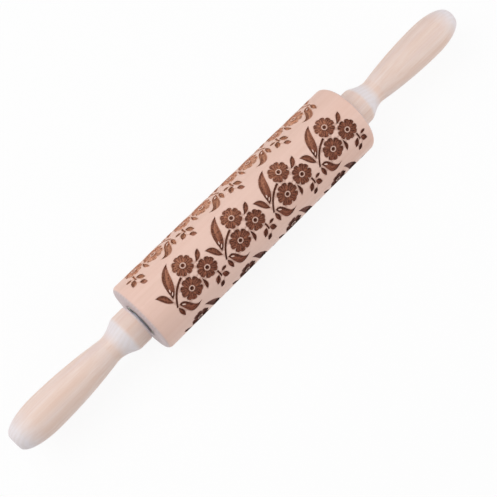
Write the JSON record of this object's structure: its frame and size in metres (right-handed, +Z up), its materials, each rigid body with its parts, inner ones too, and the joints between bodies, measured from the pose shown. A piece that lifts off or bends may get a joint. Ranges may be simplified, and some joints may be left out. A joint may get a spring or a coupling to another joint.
{
  "type": "embossed rolling pin",
  "caption": "Wooden rolling pin with two turned handles on a steel axle and a free-turning barrel engraved with flower sprigs.",
  "frame": {"origin": "middle of the pin, on the axle's centre line", "axes": "+X along the axle towards the right handle, +Z up"},
  "size_m": [0.388, 0.05, 0.05],
  "materials": {
    "barrel_wood": "sanded beech, laser engraved",
    "handle_wood": "turned and sanded beech",
    "steel": "drawn, bright",
    "brass": "machined",
    "nylon": "moulded, natural white"
  },
  "bodies": {
    "handles": {"axle_rod": "steel", "left_thrust_washer": "steel", "right_thrust_washer": "steel", "left_lock_nut": "steel", "right_lock_nut": "steel", "left_threaded_insert": "brass", "right_threaded_insert": "brass", "left_handle": "handle_wood", "right_handle": "handle_wood"},
    "barrel": {"barrel": "barrel_wood", "left_bush": "nylon", "right_bush": "nylon"}
  },
  "joints": [
    {"name": "barrel_spin", "type": "hinge", "parent": "handles", "child": "barrel", "pos_m": [0, 0, 0], "axis": [1, 0, 0], "continuous": true}
  ]
}
